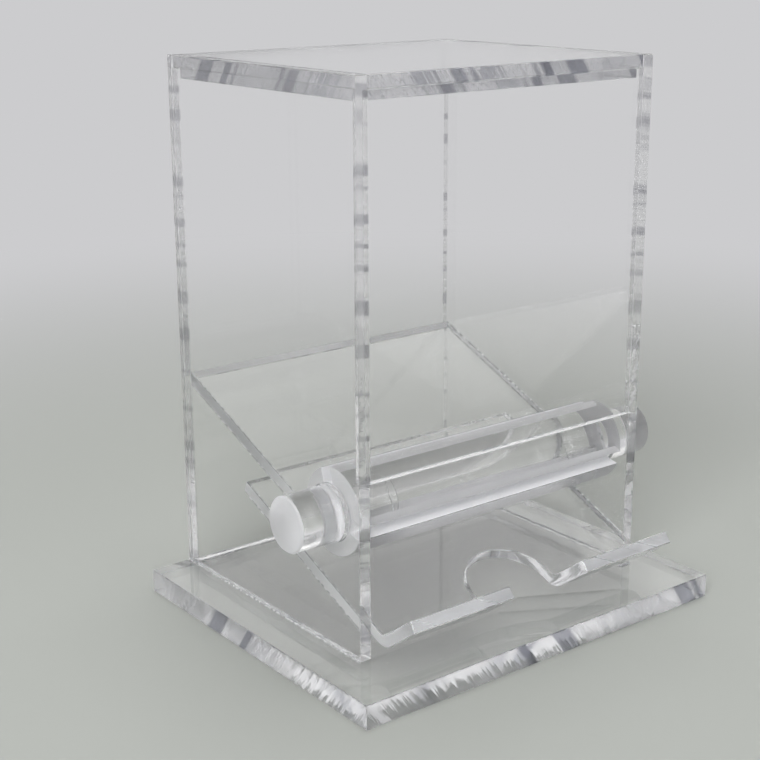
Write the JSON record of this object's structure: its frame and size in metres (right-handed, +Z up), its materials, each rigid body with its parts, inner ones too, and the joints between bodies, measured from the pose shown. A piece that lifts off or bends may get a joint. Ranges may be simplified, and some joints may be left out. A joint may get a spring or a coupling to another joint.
{
  "type": "roller stick dispenser",
  "caption": "Clear acrylic box on a base plate; a grooved roller turned by end knobs feeds thin sticks from the hopper down a sloped chute to a turned-up lip with a finger notch.",
  "frame": {"origin": "centre of the underside of the base plate, on the surface it stands on", "axes": "+X to the right seen from the front, +Y from the lip towards the back panel, +Z up"},
  "size_m": [0.1106, 0.0914, 0.1365],
  "materials": {
    "clear_acrylic_sheet": "clear cast acrylic sheet, polished faces, saw-cut and flame-polished edges",
    "clear_acrylic_rod": "clear cast acrylic rod, turned and left satin on the end faces and groove walls"
  },
  "bodies": {
    "housing": {"base_plate": "clear_acrylic_sheet", "left_side_panel": "clear_acrylic_sheet", "right_side_panel": "clear_acrylic_sheet", "back_panel": "clear_acrylic_sheet", "front_panel": "clear_acrylic_sheet", "hopper_ramp": "clear_acrylic_sheet", "chute_tray": "clear_acrylic_sheet"},
    "roller": {"roller_drum": "clear_acrylic_rod", "left_knob": "clear_acrylic_rod", "right_knob": "clear_acrylic_rod"},
    "lid": {"lid_top_plate": "clear_acrylic_sheet", "lid_locating_plate": "clear_acrylic_sheet"}
  },
  "joints": [
    {"name": "roller_spin", "type": "hinge", "parent": "housing", "child": "roller", "pos_m": [0, -0.01705, 0.0384], "axis": [1, 0, 0], "continuous": true},
    {"name": "lid_lift", "type": "slide", "parent": "housing", "child": "lid", "axis": [0, 0, 1], "range_m": [0, 0.03]}
  ]
}
